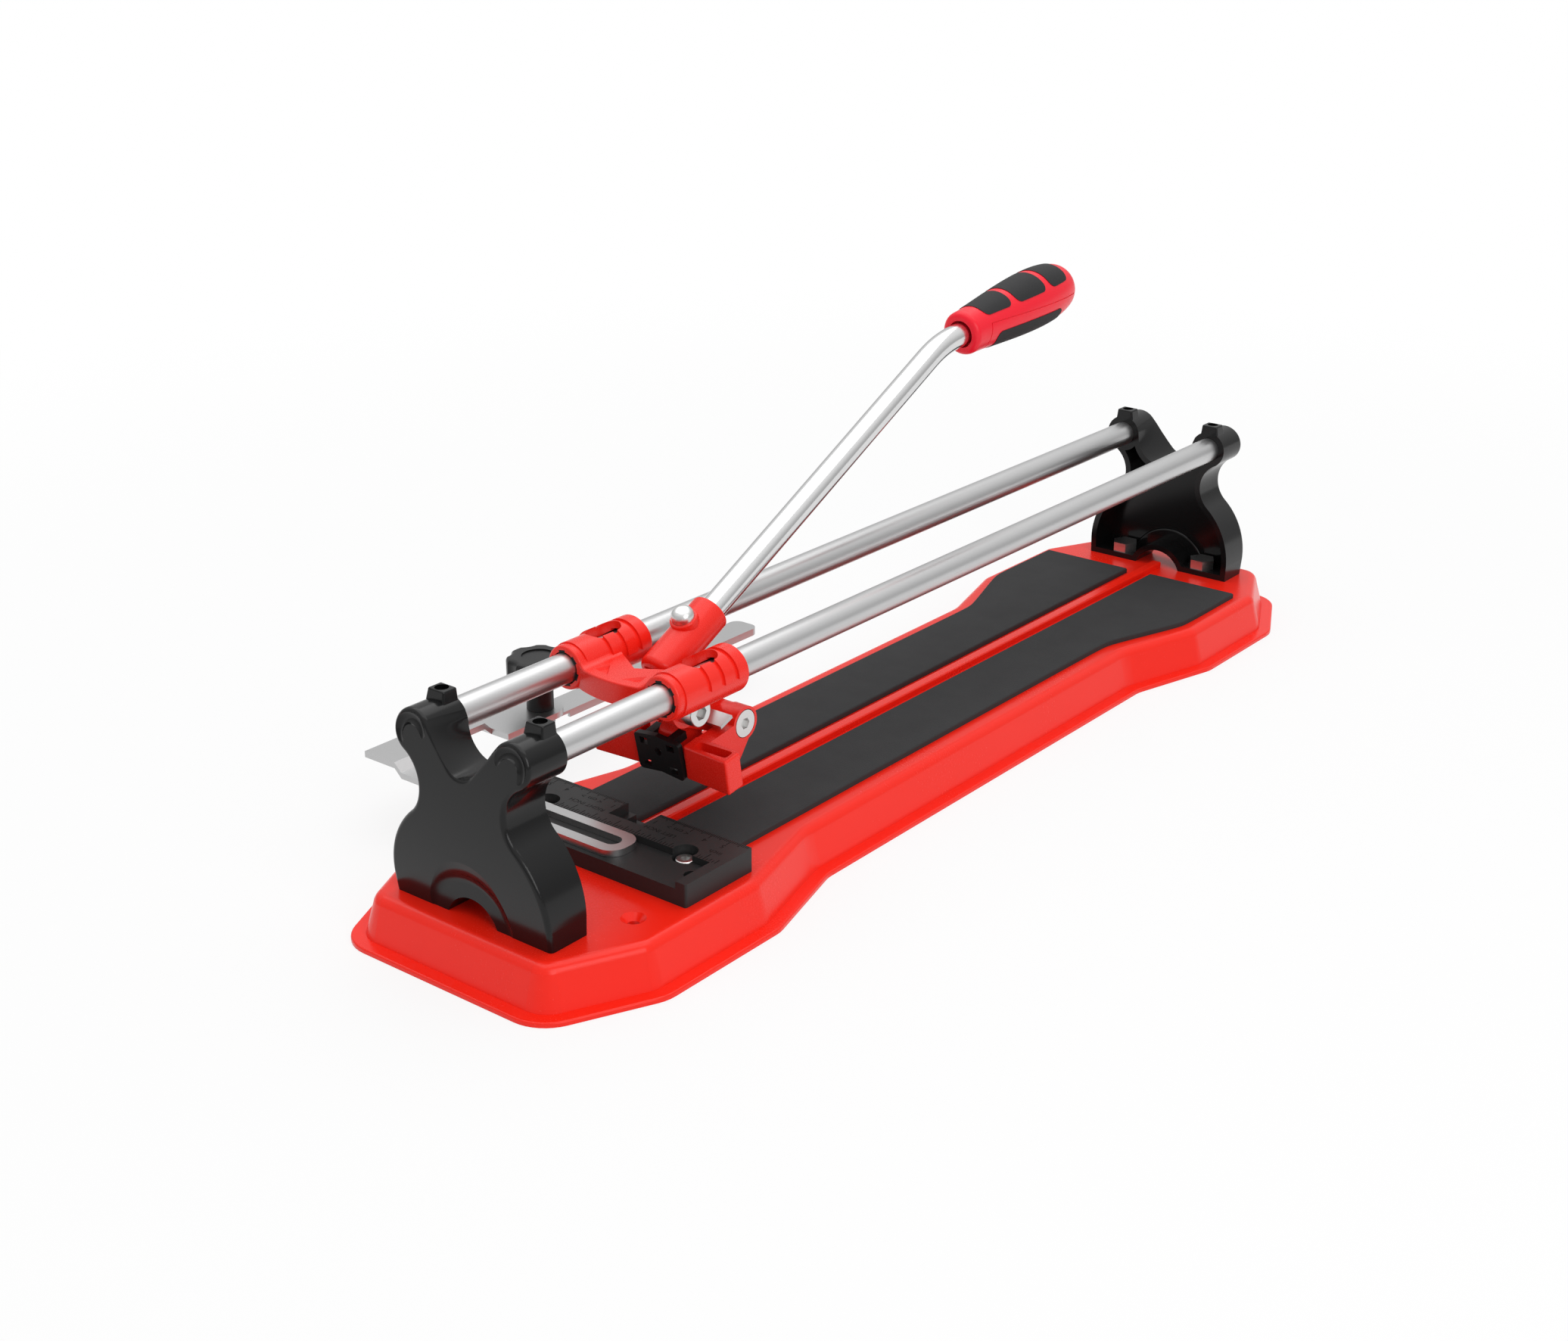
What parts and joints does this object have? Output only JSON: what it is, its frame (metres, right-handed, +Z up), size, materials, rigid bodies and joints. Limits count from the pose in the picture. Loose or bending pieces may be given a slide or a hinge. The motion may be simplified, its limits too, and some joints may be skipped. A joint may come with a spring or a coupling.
{
  "type": "manual tile cutter",
  "caption": "Rail-guided manual tile cutter: tray base with rubber pads, end supports, round rails, sliding carriage with lever, scoring wheel and breaker, ruled fence, side stop.",
  "frame": {"origin": "on the ground, at the middle of the base's outline", "axes": "+X across the rails to the right as seen from the fence end, +Y along the rails from the fence to the far support, +Z up"},
  "size_m": [0.2145, 0.6154, 0.2204],
  "materials": {
    "red_base": "smooth gloss powder coat",
    "red_casting": "fine-textured powder coat on a casting",
    "black_casting": "fine matte black coat on a casting",
    "pad_rubber": "matte, finely grained",
    "rail_chrome": "satin, lightly brushed along its length",
    "rod_chrome": "polished",
    "zinc_steel": "bright zinc",
    "dark_steel": "blackened",
    "stop_steel": "zinc-plated sheet",
    "wheel_steel": "ground carbide",
    "fence_black": "moulded, with printed scale",
    "knob_plastic": "moulded",
    "bush_plastic": "moulded",
    "guard_plastic": "moulded",
    "handle_red": "satin-gloss moulding",
    "grip_rubber": "soft moulded panel"
  },
  "bodies": {
    "frame": {"base_tray": "red_base", "pad_left": "pad_rubber", "pad_right": "pad_rubber", "support_front": "black_casting", "support_rear": "black_casting", "support_bolts": "zinc_steel", "support_nuts": "zinc_steel", "rail_left": "rail_chrome", "rail_right": "rail_chrome", "rail_set_screws": "dark_steel", "fence": "fence_black", "fence_screws": "zinc_steel", "fence_nuts": "zinc_steel", "arm_clamp_screw": "zinc_steel"},
    "stop_arm_body": {"stop_arm": "stop_steel", "stop_bolt": "zinc_steel"},
    "stop_bar_body": {"stop_bar": "stop_steel"},
    "knob_body": {"stop_knob": "knob_plastic"},
    "carriage_body": {"carriage": "red_casting", "slide_bushes": "bush_plastic", "lever_pivot_bolt": "zinc_steel", "lever_pivot_nut": "zinc_steel"},
    "lever_body": {"lever_head": "red_casting", "lever_rod": "rod_chrome", "rod_clamp_screw": "zinc_steel", "handle_shell": "handle_red", "handle_grip_top": "grip_rubber", "handle_grip_under": "grip_rubber", "stop_plate": "stop_steel", "wheel_axle": "zinc_steel", "breaker_bolt": "zinc_steel", "breaker_nut": "zinc_steel", "wheel_guard": "guard_plastic"},
    "wheel_body": {"scoring_wheel": "wheel_steel"},
    "breaker_body": {"breaker_foot": "red_casting"}
  },
  "joints": [
    {"name": "carriage_slide", "type": "slide", "parent": "frame", "child": "carriage_body", "axis": [0, 1, 0], "range_m": [-0.062, 0.39]},
    {"name": "lever_pivot", "type": "hinge", "parent": "carriage_body", "child": "lever_body", "pos_m": [0, -0.1672, 0.0773], "axis": [1, 0, 0], "range_deg": [-15, 20]},
    {"name": "breaker_swing", "type": "hinge", "parent": "lever_body", "child": "breaker_body", "pos_m": [0, -0.1372, 0.0623], "axis": [1, 0, 0], "range_deg": [-8, 10]},
    {"name": "wheel_spin", "type": "hinge", "parent": "lever_body", "child": "wheel_body", "pos_m": [0, -0.1565, 0.0515], "axis": [1, 0, 0], "continuous": true},
    {"name": "stop_slide", "type": "slide", "parent": "frame", "child": "stop_arm_body", "axis": [1, 0, 0], "range_m": [-0.045, 0.035]},
    {"name": "stop_swivel", "type": "hinge", "parent": "stop_arm_body", "child": "stop_bar_body", "pos_m": [-0.115, -0.129, 0.0284], "axis": [0, 0, 1], "range_deg": [-45, 45]},
    {"name": "knob_turn", "type": "hinge", "parent": "stop_arm_body", "child": "knob_body", "pos_m": [-0.115, -0.129, 0.0284], "axis": [0, 0, 1], "range_deg": [0, 360]}
  ]
}
